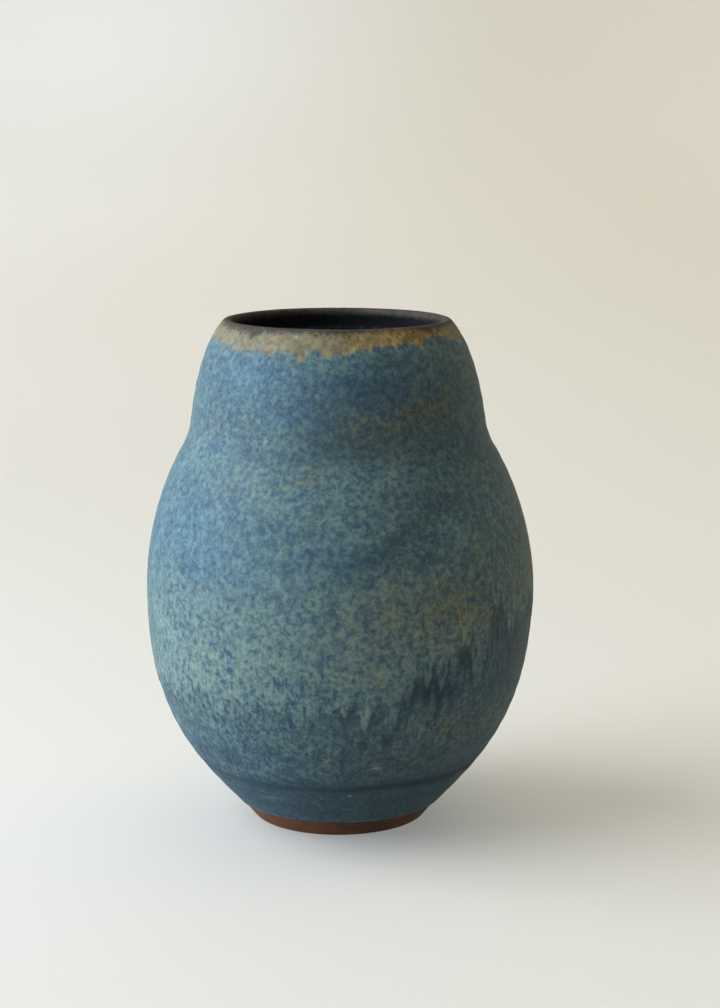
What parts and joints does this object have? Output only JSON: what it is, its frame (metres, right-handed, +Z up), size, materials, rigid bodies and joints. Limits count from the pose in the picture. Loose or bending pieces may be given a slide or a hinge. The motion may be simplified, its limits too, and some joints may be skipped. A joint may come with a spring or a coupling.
{
  "type": "flower vase",
  "caption": "Hand-thrown stoneware flower vase with a full belly, a crease at the waist, a domed collar, an open mouth and a bare turned foot.",
  "frame": {"origin": "centre of the underside of the foot, on the surface the vase stands on", "axes": "+Z up along the vase's axis, from the foot to the mouth; +X and +Y are level, and -Y is the side the reference view faces"},
  "size_m": [0.1654, 0.1654, 0.215],
  "materials": {
    "foot_clay": "bare turned stoneware, dry and matt",
    "body_clay": "fired stoneware under the glaze, dry and matt",
    "base_glaze": "satin matt slate-blue glaze, finely mottled",
    "run_glaze": "satin matt blue and grey-green glaze, mottled, with runs along its lower edge",
    "lip_glaze": "satin iron-bearing glaze, buff and ochre with charcoal on the lip",
    "liner_glaze": "satin near-black liner glaze"
  },
  "bodies": {
    "root": {"foot_ring": "foot_clay", "belly_section": "body_clay", "collar_section": "body_clay", "base_glaze": "base_glaze", "run_glaze": "run_glaze", "lip_band": "lip_glaze", "liner_glaze": "liner_glaze"}
  },
  "joints": []
}
